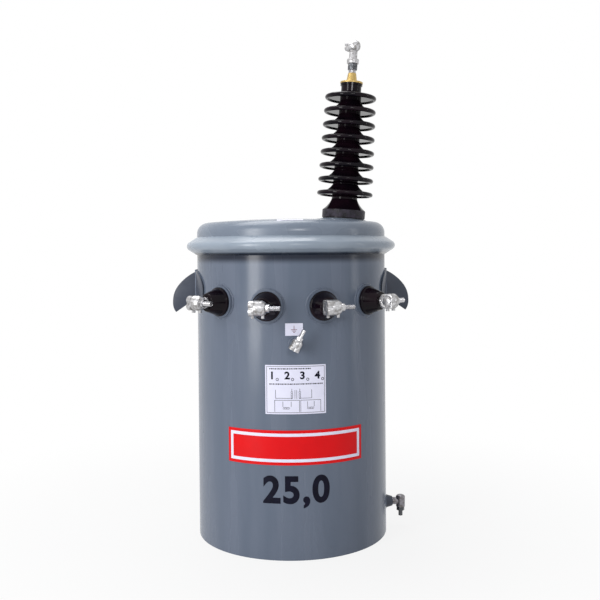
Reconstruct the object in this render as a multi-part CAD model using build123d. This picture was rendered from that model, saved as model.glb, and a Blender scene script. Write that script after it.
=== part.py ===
from build123d import *
import os
from math import asin, cos, radians, sin, sqrt

# Pole mounted single phase distribution transformer.
# Millimetres, +Z up. The origin is on the tank's axis in the plane that the tank stands on.
# The low voltage side faces -Y, the hanger brackets face the pole on +Y, and the tall
# high voltage bushing leans towards +X.

# Tank
tank_outer_radius = 235.0
tank_wall = 3.0
tank_height = 710.0
bottom_recess = 12.0
bottom_thickness = 4.0

# Rim, gasket and the band that clamps the cover
rim_flange_reach = 14.0
gasket_thickness = 6.0
gasket_width = 10.0
band_reach = 25.3
band_nose_radius = 11.4
band_flank_angle = 32.4
band_sheet = 2.5
band_gap = 26.0
band_seat_clearance = 0.3
band_joint_angle = 140.0
band_ear_length = 30.0
band_ear_thickness = 6.0
band_ear_height = 34.0
band_bolt_radius = 6.0
band_bolt_head_radius = 10.0
band_bolt_head_length = 8.0
band_bolt_end = 6.0

# Pressed cover
cover_height = 63.3
cover_sheet = 3.0
cover_shoulder_radius = 26.0
cover_crown_radius = 2500.0

# High voltage bushing, along its own leaning axis
hv_inset = 102.0
hv_lean = 3.9
hv_seat_rise = 3.5
hv_seat_foot_radius = 70.0
hv_seat_foot_depth = 12.0
hv_seat_top_radius = 56.0
hv_hole_radius = 33.0
hv_gasket_thickness = 2.0
hv_gasket_radius = 52.0
hv_stem_radius = 30.0
hv_stem_depth = 70.0
hv_collar_radius = 53.5
hv_collar_height = 20.6
hv_collar_chamfer = 1.5
hv_neck_sweep_radius = 40.5
hv_neck_sweep_height = 35.5
hv_neck_top_height = 50.0
hv_core_bottom_radius = 32.5
hv_core_top_radius = 26.5
hv_first_shed_height = 63.7
hv_shed_pitch = 34.55
hv_shed_count = 8
hv_shed_bottom_radius = 70.4
hv_shed_top_radius = 64.7
hv_shed_rim_thickness = 11.0
hv_shed_undercut = 3.0
hv_shed_cone_height = 24.0
hv_top_cone_height = 15.0
hv_barrel_radius = 25.4
hv_barrel_length = 20.75
hv_lip_radius = 27.8
hv_lip_height = 5.0

# Brass cap, stud and connector on top of the high voltage bushing
cap_flange_radius = 28.5
cap_flange_height = 4.5
cap_flare_height = 3.5
cap_hub_bottom_radius = 13.3
cap_hub_top_radius = 10.2
cap_hub_height = 19.0
hv_stud_radius = 9.7
hv_stud_exposed = 8.0
hv_nut_flats = 22.5
hv_nut_height = 15.7
connector_base_radius = 15.0
connector_base_height = 11.5
connector_neck_radius = 10.2
connector_clamp_rise = 44.5
connector_cap_radius = 13.0
connector_clamp_radius = 14.5
connector_cap_length = 12.0
connector_body_length = 21.0
connector_clamp_half_length = 8.0
connector_turn = 38.0

# Shapes shared by the clamps, as shares of their radius or length, and their prongs
clamp_groove_outer = 0.72
clamp_groove_inner = 0.5
clamp_groove_depth = 0.15
clamp_taper_start = 0.7
clamp_taper_end = 0.75
clamp_foot_reach = 5.0
clamp_foot_width = 6.0

# Low voltage bushings across the front
lv_row_below_rim = 134.0
lv_outer_rise = 7.5
lv_inner_angle = 15.5
lv_outer_angle = 46.0
lv_seat_proud = 5.0
lv_seat_radius = 37.5
lv_hole_radius = 24.0
lv_stem_radius = 22.0
lv_stem_depth = 45.0
lv_base_radius = 33.5
lv_base_thickness = 6.0
lv_cone_radius = 31.5
lv_end_radius = 20.5
lv_porcelain_length = 40.0
lv_stud_radius = 8.0
lv_stud_depth = 65.0
lv_collar_radius = 13.0
lv_collar_thickness = 6.0
lv_clamp_reach = 26.0
lv_clamp_radius = 17.0
lv_cap_radius = 19.5
lv_cap_length = 12.0
lv_clamp_half_length = 7.5
lv_clamp_body_length = 23.0
lv_nut_flats = 17.0
lv_nut_height = 9.0
lv_shank_radius = 5.5
lv_shank_length = 24.0

# Lifting lugs
lug_thickness = 10.0
lug_below_rim = 58.0
lug_root_height = 66.0
lug_notch_width = 22.0
lug_notch_crown = 9.0
lug_pad_thickness = 4.0

# Edge of the lug from its top to the hook's tip, as reach from the wall and drop from the top,
# and the front edge of its pad on the wall in the same way
lug_edge = ((0, 0), (24, 13.2), (46, 33.5), (57.6, 52.5), (62, 76), (60.8, 90), (54.5, 103))
lug_pad_edge = ((0, 0), (-14.5, 20), (-18.7, 55))

# Hanger brackets on the back
hanger_spacing = 285.75
hanger_below_rim = 125.0
hanger_stand_off = 58.0
hanger_width = 96.0
hanger_height = 90.0
hanger_plate = 6.0
hanger_slot_width = 18.0
hanger_slot_length = 48.0

# Grounding connector on the front
ground_below_row = 86.0
ground_boss_radius = 14.0
ground_boss_length = 12.0
ground_stud_radius = 6.5
ground_clamp_reach = 26.0
ground_clamp_radius = 12.5
ground_cap_radius = 14.5
ground_cap_length = 8.0
ground_body_length = 13.0
ground_lean = -61.0
ground_nut_flats = 14.0
ground_nut_height = 8.0
ground_shank_radius = 4.5
ground_shank_length = 18.0

# Fitting low on the right side
side_height = 60.3
side_boss_radius = 17.0
side_boss_end_radius = 12.0
side_boss_length = 18.0
side_stud_radius = 9.0
side_body_reach = 39.7
side_body_radius = 11.3
side_body_height = 30.0
side_body_chamfer = 3.0
side_nut_flats = 17.5
side_nut_height = 9.0
side_plug_radius = 5.2
side_plug_length = 13.5

# Core and coils, sealed inside the tank
coil_width = 190.0
coil_depth = 250.0
core_below_bushings = 108.0
core_leg = 55.0
core_depth = 180.0
core_window_clearance = 12.0

# Derived places
flange_radius = tank_outer_radius + rim_flange_reach
band_centre_height = tank_height + gasket_thickness / 2
cover_flange_height = tank_height + gasket_thickness
cover_top_height = cover_flange_height + cover_height
hv_offset = tank_outer_radius - hv_inset
hv_top_shed_height = hv_first_shed_height + (hv_shed_count - 1) * hv_shed_pitch
hv_barrel_top = hv_top_shed_height + hv_top_cone_height + hv_barrel_length
lv_angles = (-lv_outer_angle, -lv_inner_angle, lv_inner_angle, lv_outer_angle)
lv_face_radius = tank_outer_radius + lv_seat_proud
lv_end_reach = lv_face_radius + lv_porcelain_length
lv_clamp_axis = lv_end_reach + lv_clamp_reach
bottom_top_height = bottom_recess + bottom_thickness
lv_row_height = tank_height - lv_row_below_rim
lug_top_height = tank_height - lug_below_rim
hanger_upper_height = tank_height - hanger_below_rim
ground_height = lv_row_height - ground_below_row
core_height = lv_row_height - lv_hole_radius - core_below_bushings - bottom_top_height
coil_height = core_height - 2 * (core_leg + core_window_clearance)
tall = 2 * (tank_height + cover_height)


def turned(points):
    """Solid of revolution about Z from a closed outline of (radius, height) points."""
    outline = Polyline(*[(radius, height) for radius, height in points], close=True)
    return revolve(Plane.XZ * make_face(outline), Axis.Z)


def disc(radius, bottom, top):
    """Upright cylinder about Z between two heights."""
    align = (Align.CENTER, Align.CENTER, Align.MIN)
    return Pos(0, 0, bottom) * Cylinder(radius, top - bottom, align=align)


def tube(outer, inner, bottom, top):
    """Upright ring about Z between two heights."""
    return turned([(inner, bottom), (outer, bottom), (outer, top), (inner, top)])


def hexagon(flats, bottom, top):
    """Upright hexagonal prism about Z between two heights."""
    outline = RegularPolygon(flats / 2, 6, major_radius=False)
    return Pos(0, 0, bottom) * extrude(outline, top - bottom)


def tank_envelope():
    """Everything inside the tank's outer surface, which what seats on the wall is cut by."""
    return disc(tank_outer_radius, -tall, tall)


def cover_profile(inset):
    """Outline of the cover's outside, or of its inside when inset by the sheet."""
    wall = tank_outer_radius - inset
    corner = cover_shoulder_radius - inset
    crown = cover_crown_radius - inset
    crown_top = cover_top_height - inset
    crown_centre = crown_top - crown
    shoulder_x = wall - corner
    shoulder_z = crown_centre + sqrt((crown - corner) ** 2 - shoulder_x**2)
    lean = asin(shoulder_x / (crown - corner))
    join = (crown * sin(lean), crown_centre + crown * cos(lean))
    half = (radians(90) + lean) / 2
    mid = (shoulder_x + corner * sin(half), shoulder_z + corner * cos(half))
    crown_mid = (crown * sin(lean / 2), crown_centre + crown * cos(lean / 2))
    return wall, shoulder_z, mid, join, crown_mid, crown_top


def cover_solid(inset):
    """The cover's dome as a solid, from the gasket up."""
    wall, shoulder_z, mid, join, crown_mid, crown_top = cover_profile(inset)
    base = cover_flange_height
    edges = [
        Line((0, base), (wall, base)),
        Line((wall, base), (wall, shoulder_z)),
        ThreePointArc((wall, shoulder_z), mid, join),
        ThreePointArc(join, crown_mid, (0, crown_top)),
        Line((0, crown_top), (0, base)),
    ]
    return revolve(Plane.XZ * make_face(Curve() + edges), Axis.Z)


# The bushing's own frame: its origin lies on the seat's top face, +Z along its axis.
hv_surface = cover_top_height - cover_crown_radius + sqrt(cover_crown_radius**2 - hv_offset**2)
hv_frame = Location((hv_offset, 0, hv_surface + hv_seat_rise), (0, hv_lean, 0))


def wall_frame(angle, height):
    """Frame at a height on the axis: +Z points out of the wall at an angle from the front, +Y is up."""
    turn = Location((0, 0, height), (0, 0, angle))
    return turn * Location(Plane((0, 0, 0), x_dir=(1, 0, 0), z_dir=(0, -1, 0)))


def lv_frame(angle):
    """Wall frame of one low voltage bushing: the outer two sit a little higher."""
    rise = lv_outer_rise if abs(angle) == lv_outer_angle else 0
    return wall_frame(angle, lv_row_height + rise)


# Tank


def make_tank_wall():
    """Rolled shell with an outward rim flange and a hole for each low voltage bushing."""
    inner = tank_outer_radius - tank_wall
    flange_under = tank_height - tank_wall
    wall = turned(
        [
            (inner, 0),
            (tank_outer_radius, 0),
            (tank_outer_radius, flange_under),
            (flange_radius, flange_under),
            (flange_radius, tank_height),
            (inner, tank_height),
        ]
    )
    for angle in lv_angles:
        wall -= lv_frame(angle) * disc(lv_hole_radius, 0, tank_outer_radius + lv_seat_proud)
    return wall


def make_tank_bottom():
    """Flat plate set inside the wall, above the edge that the tank stands on."""
    return disc(tank_outer_radius - tank_wall, bottom_recess, bottom_top_height)


def make_tank_cover():
    """Pressed cover: flange, short wall, rounded shoulder and a shallow crown."""
    flange = disc(flange_radius, cover_flange_height, cover_flange_height + cover_sheet)
    shell = cover_solid(0) + flange - cover_solid(cover_sheet)
    return shell - hv_frame * disc(hv_hole_radius, -hv_stem_depth, hv_stem_depth)


def make_cover_gasket():
    """Flat ring between the two flanges."""
    return tube(flange_radius, flange_radius - gasket_width, tank_height, cover_flange_height)


def band_section(inset):
    """Vee section with a rounded nose, or its hollow when inset by the sheet."""
    seat = tank_outer_radius + band_seat_clearance
    slope = radians(band_flank_angle)
    radius = band_nose_radius - inset
    centre = seat + band_reach - band_nose_radius
    tangent = (centre + radius * sin(slope), radius * cos(slope))
    mouth = tangent[1] + (tangent[0] - seat) * sin(slope) / cos(slope)
    middle = band_centre_height
    edges = [
        Line((seat, middle - mouth), (tangent[0], middle - tangent[1])),
        ThreePointArc(
            (tangent[0], middle - tangent[1]),
            (centre + radius, middle),
            (tangent[0], middle + tangent[1]),
        ),
        Line((tangent[0], middle + tangent[1]), (seat, middle + mouth)),
        Line((seat, middle + mouth), (seat, middle - mouth)),
    ]
    return make_face(Curve() + edges)


def make_cover_band():
    """Split vee band with an ear beside the gap at each end."""
    seat = tank_outer_radius + band_seat_clearance
    ring = revolve(Plane.XZ * band_section(0), Axis.Z)
    outward = wall_frame(band_joint_angle, band_centre_height)
    ear_foot = seat + band_reach / 2
    ear_end = seat + band_reach + band_ear_length
    for side in (-1, 1):
        ear = Box(band_ear_thickness, band_ear_height, ear_end - ear_foot)
        ear_x = side * (band_gap + band_ear_thickness) / 2
        hole = Location((ear_x, 0, band_bolt_axis()), (0, 90, 0))
        hole = hole * Cylinder(band_bolt_radius, 2 * band_ear_thickness)
        ring += outward * (Pos(ear_x, 0, (ear_foot + ear_end) / 2) * ear - hole)
    gap = Box(band_gap, tall, 2 * ear_end, align=(Align.CENTER, Align.CENTER, Align.MIN))
    return ring - revolve(Plane.XZ * band_section(band_sheet), Axis.Z) - outward * gap


def band_bolt_axis():
    """Distance of the band's bolt from the tank's axis."""
    return tank_outer_radius + band_seat_clearance + band_reach + band_ear_length / 2


def make_band_bolt():
    """Bolt that draws the band's ears together, with a nut."""
    half = band_gap / 2 + band_ear_thickness
    shank = disc(band_bolt_radius, -half - band_bolt_head_length - band_bolt_end, half)
    head = hexagon(2 * band_bolt_head_radius, half, half + band_bolt_head_length)
    nut = hexagon(2 * band_bolt_head_radius, -half - band_bolt_head_length, -half)
    outward = wall_frame(band_joint_angle, band_centre_height)
    return outward * Location((0, 0, band_bolt_axis()), (0, 90, 0)) * (shank + head + nut)


# High voltage bushing


def make_hv_seat():
    """Raised seat that levels the bushing on the cover's crown, with a hollow flank."""
    foot = -hv_seat_foot_depth
    middle = ((hv_seat_foot_radius + 2 * hv_seat_top_radius) / 3, -2 * hv_seat_rise / 3)
    edges = [
        Line((hv_hole_radius, 0), (hv_hole_radius, foot)),
        Line((hv_hole_radius, foot), (hv_seat_foot_radius, foot)),
        Line((hv_seat_foot_radius, foot), (hv_seat_foot_radius, -hv_seat_rise)),
        ThreePointArc((hv_seat_foot_radius, -hv_seat_rise), middle, (hv_seat_top_radius, 0)),
        Line((hv_seat_top_radius, 0), (hv_hole_radius, 0)),
    ]
    ring = revolve(Plane.XZ * make_face(Curve() + edges), Axis.Z)
    crown = Pos(0, 0, cover_top_height - cover_crown_radius) * Sphere(cover_crown_radius)
    return hv_frame * ring - crown


def make_hv_gasket():
    """Flat ring between seat and porcelain."""
    return hv_frame * tube(hv_gasket_radius, hv_hole_radius, 0, hv_gasket_thickness)


def shed_radius(index):
    """Rim radius of one shed: the lowest is the widest."""
    share = index / (hv_shed_count - 1)
    return hv_shed_bottom_radius + share * (hv_shed_top_radius - hv_shed_bottom_radius)


def core_radius(height):
    """Radius of the porcelain's tapering core at a height above its seat."""
    share = (height - hv_neck_top_height) / (hv_top_shed_height - hv_neck_top_height)
    return hv_core_bottom_radius + share * (hv_core_top_radius - hv_core_bottom_radius)


def shed_edges(index):
    """Outline of one shed from its underside to the core above it."""
    tip = hv_first_shed_height + index * hv_shed_pitch
    rim = hv_shed_rim_thickness / 2
    radius = shed_radius(index)
    ceiling = tip - rim + hv_shed_undercut
    under = (core_radius(ceiling), ceiling)
    drip_top = (radius - rim - hv_shed_undercut, ceiling)
    drip = (radius - rim - hv_shed_undercut / 2, tip - rim)
    rim_low = (radius - rim, tip - rim)
    rim_high = (radius - rim, tip + rim)
    at_top = index == hv_shed_count - 1
    above = tip + (hv_top_cone_height if at_top else hv_shed_cone_height)
    root = (hv_barrel_radius if at_top else core_radius(above), above)
    slope_x = (rim_high[0] + 2 * root[0]) / 3
    slope_z = (2 * rim_high[1] + root[1]) / 3
    return [
        Line(under, drip_top),
        Line(drip_top, drip),
        Line(drip, rim_low),
        ThreePointArc(rim_low, (radius, tip), rim_high),
        ThreePointArc(rim_high, (slope_x, slope_z), root),
    ], under, root


def make_hv_porcelain():
    """Tapering porcelain with its sheds, neck, collar and the stem that goes into the oil."""
    collar_foot = hv_gasket_thickness
    collar_top = collar_foot + hv_collar_height
    corners = [
        (0, -hv_stem_depth),
        (hv_stem_radius, -hv_stem_depth),
        (hv_stem_radius, collar_foot),
        (hv_collar_radius, collar_foot),
        (hv_collar_radius, collar_top),
        (hv_collar_radius - hv_collar_chamfer, collar_top + hv_collar_chamfer),
    ]
    edges = [Line(a, b) for a, b in zip(corners, corners[1:])]
    last = (hv_core_bottom_radius, hv_neck_top_height)
    edges.append(ThreePointArc(corners[-1], (hv_neck_sweep_radius, hv_neck_sweep_height), last))
    for index in range(hv_shed_count):
        shed, under, root = shed_edges(index)
        edges.append(Line(last, under))
        edges += shed
        last = root
    lip_foot = hv_barrel_top - hv_lip_height
    finish = [
        (hv_barrel_radius, lip_foot),
        (hv_lip_radius, lip_foot),
        (hv_lip_radius, hv_barrel_top),
        (0, hv_barrel_top),
        corners[0],
    ]
    edges += [Line(a, b) for a, b in zip([last] + finish, finish)]
    return hv_frame * revolve(Plane.XZ * make_face(Curve() + edges), Axis.Z)


def make_hv_cap():
    """Brass cap: a flange on the porcelain that flares down from a conical hub."""
    flange_top = hv_barrel_top + cap_flange_height
    cap = turned(
        [
            (0, hv_barrel_top),
            (cap_flange_radius, hv_barrel_top),
            (cap_flange_radius, flange_top),
            (cap_hub_bottom_radius, flange_top + cap_flare_height),
            (cap_hub_top_radius, hv_cap_top),
            (0, hv_cap_top),
        ]
    )
    return hv_frame * cap


hv_cap_top = hv_barrel_top + cap_flange_height + cap_flare_height + cap_hub_height
hv_nut_bottom = hv_cap_top + hv_stud_exposed
hv_connector_bottom = hv_nut_bottom + hv_nut_height


def make_hv_stud():
    """Threaded stud that carries the nut and the connector."""
    return hv_frame * disc(hv_stud_radius, hv_cap_top, hv_nut_bottom)


def make_hv_nut():
    """Dark hexagonal lock nut."""
    return hv_frame * hexagon(hv_nut_flats, hv_nut_bottom, hv_connector_bottom)


def make_hv_neck():
    """Connector's base and the neck that stands in its clamp."""
    base_top = hv_connector_bottom + connector_base_height
    clamp_axis = hv_connector_bottom + connector_clamp_rise
    body = disc(connector_base_radius, hv_connector_bottom, base_top)
    return hv_frame * (body + disc(connector_neck_radius, base_top, clamp_axis))


def hv_clamp_frame():
    """Frame of the transverse clamp: +Z along the clamp, from its lobed cap to its nut."""
    clamp_axis = hv_connector_bottom + connector_clamp_rise
    across = Location((0, 0, clamp_axis), (0, 90, 0))
    return hv_frame * across * Location((0, 0, 0), (connector_turn, 0, 0))


def make_clamp_feet(body_radius, cap_length, body_length, split):
    """Two prongs that stand out below a clamp, one on its cap and one on its body."""
    reach = clamp_foot_reach + body_radius / 2
    prong = Box(clamp_foot_width, reach, clamp_foot_width, align=(Align.CENTER, Align.MAX, Align.CENTER))
    start = -body_radius / 2
    cap_foot = Pos(0, start, split - cap_length / 2) * prong
    return cap_foot + Pos(0, start, split + body_length - clamp_foot_width) * prong


def make_clamp(cap_radius, cap_length, body_radius, body_length, split):
    """Lobed cap and tapering body about Z; the cap lies below the split plane, the body above."""
    lobe = cap_radius / 2
    cap_face = Circle(cap_radius - lobe / 2)
    cap_face += [Rot(0, 0, 45 + 90 * k) * Pos(cap_radius - lobe, 0) * Circle(lobe) for k in range(4)]
    cap = Pos(0, 0, split - cap_length) * extrude(cap_face, cap_length)
    end = split - cap_length
    groove_floor = end + clamp_groove_depth * cap_length
    groove = tube(clamp_groove_outer * cap_radius, clamp_groove_inner * cap_radius, end, groove_floor)
    body = turned(
        [
            (0, split),
            (body_radius, split),
            (body_radius, split + clamp_taper_start * body_length),
            (clamp_taper_end * body_radius, split + body_length),
            (0, split + body_length),
        ]
    )
    return cap - groove + body


def make_clamp_bolt(flats, nut_height, shank_radius, shank_length, start):
    """Hexagonal nut and threaded shank along Z."""
    return hexagon(flats, start, start + nut_height) + disc(
        shank_radius, start, start + nut_height + shank_length
    )


def make_hv_clamp():
    """Transverse clamp on the connector."""
    clamp = make_clamp(
        connector_cap_radius,
        connector_cap_length,
        connector_clamp_radius,
        connector_body_length,
        -connector_clamp_half_length,
    )
    return hv_clamp_frame() * clamp - make_hv_neck()


# Low voltage bushings


def make_lv_seat(angle):
    """Ring on the wall that gives the bushing a flat seat."""
    ring = lv_frame(angle) * tube(lv_seat_radius, lv_hole_radius, 0, lv_face_radius)
    return ring - tank_envelope()


def make_lv_porcelain(angle):
    """Conical porcelain with a base flange and a stem through the wall, bored for its stud."""
    face = lv_face_radius
    stem_end = face - lv_seat_proud - lv_stem_depth
    body = turned(
        [
            (lv_stud_radius, stem_end),
            (lv_stem_radius, stem_end),
            (lv_stem_radius, face),
            (lv_base_radius, face),
            (lv_base_radius, face + lv_base_thickness),
            (lv_cone_radius, face + lv_base_thickness),
            (lv_end_radius, lv_end_reach),
            (lv_stud_radius, lv_end_reach),
        ]
    )
    return lv_frame(angle) * body


def make_lv_stud(angle):
    """Stud through the porcelain with a collar against its end."""
    start = lv_face_radius - lv_stud_depth
    stud = disc(lv_stud_radius, start, lv_clamp_axis)
    stud += disc(lv_collar_radius, lv_end_reach, lv_end_reach + lv_collar_thickness)
    return lv_frame(angle) * stud


def lv_clamp_frame(angle):
    """Frame of one clamp: +Z runs along the row from the lobed cap to the nut."""
    return lv_frame(angle) * Location((0, 0, lv_clamp_axis), (0, 90, 0))


def make_lv_clamp(angle):
    """Lobed clamp across the stud's end."""
    clamp = make_clamp(
        lv_cap_radius, lv_cap_length, lv_clamp_radius, lv_clamp_body_length, -lv_clamp_half_length
    )
    clamp += make_clamp_feet(
        lv_clamp_radius, lv_cap_length, lv_clamp_body_length, -lv_clamp_half_length
    )
    return lv_clamp_frame(angle) * clamp - make_lv_stud(angle)


def make_lv_bolt(angle):
    """Nut and threaded shank on the clamp's end."""
    start = lv_clamp_body_length - lv_clamp_half_length
    bolt = make_clamp_bolt(lv_nut_flats, lv_nut_height, lv_shank_radius, lv_shank_length, start)
    return lv_clamp_frame(angle) * bolt


# Lifting lugs and hangers


def lug_outline(points):
    """Arcs over the given points, each a reach from the wall and a drop from the lug's top."""
    places = [(reach, lug_top_height - drop) for reach, drop in points]
    return [ThreePointArc(*places[k : k + 3]) for k in range(0, len(places) - 1, 2)]


def make_lug(side):
    """Hooked plate with a pad on the wall: the sling sits in the notch that opens downwards."""
    inside = -tank_wall
    root = lug_top_height - lug_root_height
    hook_reach, hook_drop = lug_edge[-1]
    hook = (hook_reach, lug_top_height - hook_drop)
    edge_slope = (root - hook[1]) / hook_reach
    notch_out = (lug_notch_width, root - edge_slope * lug_notch_width)
    plate_edges = lug_outline(lug_edge) + [
        Line(hook, notch_out),
        ThreePointArc(notch_out, (lug_notch_crown, root), (0, root)),
        Line((0, root), (inside, root)),
        Line((inside, root), (inside, lug_top_height)),
        Line((inside, lug_top_height), (0, lug_top_height)),
    ]
    pad_reach, pad_drop = lug_pad_edge[-1]
    pad_edges = lug_outline(lug_pad_edge) + [
        Line((pad_reach, lug_top_height - pad_drop), (pad_reach, root)),
        Line((pad_reach, root), (lug_pad_thickness, root)),
        Line((lug_pad_thickness, root), (lug_pad_thickness, lug_top_height)),
        Line((lug_pad_thickness, lug_top_height), (0, lug_top_height)),
    ]
    outer = tank_outer_radius + lug_pad_thickness
    ring = tube(outer, tank_outer_radius, root, lug_top_height)
    at_wall = Plane((tank_outer_radius, 0, 0), x_dir=(1, 0, 0), z_dir=(0, -1, 0))
    plate = at_wall * extrude(make_face(Curve() + plate_edges), lug_thickness / 2, both=True)
    pad = at_wall * extrude(make_face(Curve() + pad_edges), outer) & ring
    lug = plate - tank_envelope() + pad
    return lug if side > 0 else mirror(lug, about=Plane.YZ)


def make_hanger(height):
    """Bent bracket that stands off the wall, with an upright slot for the pole bolt."""
    face = tank_outer_radius + hanger_stand_off
    align = (Align.CENTER, Align.MIN, Align.CENTER)
    block = Box(hanger_width, face, hanger_height, align=align)
    inner_width = hanger_width - 2 * hanger_plate
    block -= Box(inner_width, face - hanger_plate, 2 * hanger_height, align=align)
    slot = Plane((0, 0, 0), x_dir=(0, 0, 1), z_dir=(0, 1, 0)) * SlotOverall(
        hanger_slot_length, hanger_slot_width
    )
    block -= extrude(slot, 2 * face)
    return Pos(0, 0, height) * block - tank_envelope()


# Fittings


def make_ground_boss():
    """Boss on the front wall for the grounding connector."""
    boss = wall_frame(0, ground_height) * disc(
        ground_boss_radius, 0, tank_outer_radius + ground_boss_length
    )
    return boss - tank_envelope()


def ground_clamp_frame():
    """Frame of the grounding clamp: +Z leans up to the right."""
    axis = tank_outer_radius + ground_clamp_reach
    return wall_frame(0, ground_height) * Location((0, 0, axis), (0, 90, 0)) * Rot(
        ground_lean, 0, 0
    )


def make_ground_stud():
    """Stud from the boss into the clamp."""
    start = tank_outer_radius + ground_boss_length
    stud = disc(ground_stud_radius, start, tank_outer_radius + ground_clamp_reach)
    return wall_frame(0, ground_height) * stud


def make_ground_clamp():
    """Small lobed clamp."""
    clamp = make_clamp(
        ground_cap_radius,
        ground_cap_length,
        ground_clamp_radius,
        ground_body_length + ground_cap_length / 2,
        -ground_cap_length / 2,
    )
    return ground_clamp_frame() * clamp - make_ground_stud()


def make_ground_bolt():
    """Nut and shank of the grounding clamp."""
    bolt = make_clamp_bolt(
        ground_nut_flats,
        ground_nut_height,
        ground_shank_radius,
        ground_shank_length,
        ground_body_length,
    )
    return ground_clamp_frame() * bolt


def make_side_boss():
    """Conical boss low on the right side."""
    root = tank_outer_radius
    boss = turned(
        [
            (0, 0),
            (side_boss_radius, 0),
            (side_boss_radius, root),
            (side_boss_end_radius, root + side_boss_length),
            (0, root + side_boss_length),
        ]
    )
    return wall_frame(90, side_height) * boss - tank_envelope()


def make_side_fitting():
    """Stud and upright body of the fitting."""
    start = tank_outer_radius + side_boss_length
    axis = tank_outer_radius + side_body_reach
    stud = wall_frame(90, side_height) * disc(side_stud_radius, start, axis)
    low = side_height - side_body_height / 2
    top = low + side_body_height
    body = turned(
        [
            (0, low),
            (side_body_radius, low),
            (side_body_radius, top - side_body_chamfer),
            (side_body_radius - side_body_chamfer, top),
            (0, top),
        ]
    )
    return stud + Pos(axis, 0, 0) * body


def make_side_bolt():
    """Nut and plug under the fitting's body."""
    axis = tank_outer_radius + side_body_reach
    top = side_height - side_body_height / 2
    nut = hexagon(side_nut_flats, top - side_nut_height, top)
    plug = disc(side_plug_radius, top - side_nut_height - side_plug_length, top)
    return Pos(axis, 0, 0) * (nut + plug)


# Inside


def make_coils():
    """Coil stack between the two core loops."""
    foot = bottom_top_height + core_leg + core_window_clearance
    block = Box(coil_width, coil_depth, coil_height, align=(Align.CENTER, Align.CENTER, Align.MIN))
    coils = Pos(0, 0, foot) * fillet(block.edges().filter_by(Axis.Z), coil_width / 4)
    return coils - make_core()


def make_core():
    """Core with a window on each side for the coils."""
    window_height = core_height - 2 * core_leg
    window_width = coil_width / 2 - core_leg / 2 + core_window_clearance
    width = 3 * core_leg + 2 * window_width
    align = (Align.CENTER, Align.CENTER, Align.MIN)
    core = Box(width, core_depth, core_height, align=align)
    for side in (-1, 1):
        window = Box(window_width, 2 * core_depth, window_height, align=align)
        core -= Pos(side * (core_leg + window_width) / 2, 0, core_leg) * window
    return Pos(0, 0, bottom_top_height) * core


def main():
    """Build every piece and write it."""
    os.makedirs("parts", exist_ok=True)
    pieces = {
        "tank_wall": make_tank_wall(),
        "tank_bottom": make_tank_bottom(),
        "tank_cover": make_tank_cover(),
        "cover_gasket": make_cover_gasket(),
        "cover_band": make_cover_band(),
        "band_bolt": make_band_bolt(),
        "hv_seat": make_hv_seat(),
        "hv_gasket": make_hv_gasket(),
        "hv_porcelain": make_hv_porcelain(),
        "hv_cap": make_hv_cap(),
        "hv_stud": make_hv_stud(),
        "hv_nut": make_hv_nut(),
        "hv_connector": make_hv_neck(),
        "hv_clamp": make_hv_clamp(),
        "lifting_lug_right": make_lug(1),
        "lifting_lug_left": make_lug(-1),
        "hanger_upper": make_hanger(hanger_upper_height),
        "hanger_lower": make_hanger(hanger_upper_height - hanger_spacing),
        "ground_boss": make_ground_boss(),
        "ground_stud": make_ground_stud(),
        "ground_clamp": make_ground_clamp(),
        "ground_bolt": make_ground_bolt(),
        "side_boss": make_side_boss(),
        "side_fitting": make_side_fitting(),
        "side_bolt": make_side_bolt(),
        "core": make_core(),
        "coils": make_coils(),
    }
    for number, angle in enumerate(lv_angles, start=1):
        pieces[f"lv_seat_{number}"] = make_lv_seat(angle)
        pieces[f"lv_porcelain_{number}"] = make_lv_porcelain(angle)
        pieces[f"lv_stud_{number}"] = make_lv_stud(angle)
        pieces[f"lv_clamp_{number}"] = make_lv_clamp(angle)
        pieces[f"lv_bolt_{number}"] = make_lv_bolt(angle)
    for name, piece in pieces.items():
        export_step(piece, f"parts/{name}.step")


main()
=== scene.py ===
import logging
from dataclasses import dataclass, replace
from enum import Enum
from functools import cache
from itertools import pairwise
from math import cos, hypot, pi, radians, sin, sqrt
from typing import Sequence

import bpy
from bpy.types import Material, Node, NodeSocket, NodeTree, Object
from mathutils import Matrix, Vector
from mathutils.geometry import interpolate_bezier


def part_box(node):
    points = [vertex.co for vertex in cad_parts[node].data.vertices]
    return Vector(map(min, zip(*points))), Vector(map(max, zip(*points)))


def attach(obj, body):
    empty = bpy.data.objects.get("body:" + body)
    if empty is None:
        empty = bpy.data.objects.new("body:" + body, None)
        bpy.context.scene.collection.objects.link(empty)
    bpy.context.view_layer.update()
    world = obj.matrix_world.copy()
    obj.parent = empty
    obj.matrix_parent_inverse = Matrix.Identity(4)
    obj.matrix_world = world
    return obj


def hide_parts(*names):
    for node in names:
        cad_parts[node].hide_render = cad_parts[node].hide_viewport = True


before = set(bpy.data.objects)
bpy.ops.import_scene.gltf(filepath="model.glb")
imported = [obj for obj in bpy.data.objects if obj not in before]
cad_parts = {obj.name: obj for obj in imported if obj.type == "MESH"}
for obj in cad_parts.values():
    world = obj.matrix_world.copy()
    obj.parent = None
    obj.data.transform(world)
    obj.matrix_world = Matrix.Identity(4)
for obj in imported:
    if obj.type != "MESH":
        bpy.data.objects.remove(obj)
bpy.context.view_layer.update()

# Looks of a pole mounted transformer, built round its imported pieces.
# Metres, with sizes written in millimetres times MM. The front faces -Y.

MM = 0.001
BODY = "root"
TANK_RADIUS = 235.0
ARC_STEPS = 5
NUMERAL_SHARE = 0.73
log = logging.getLogger("transformer")


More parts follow.
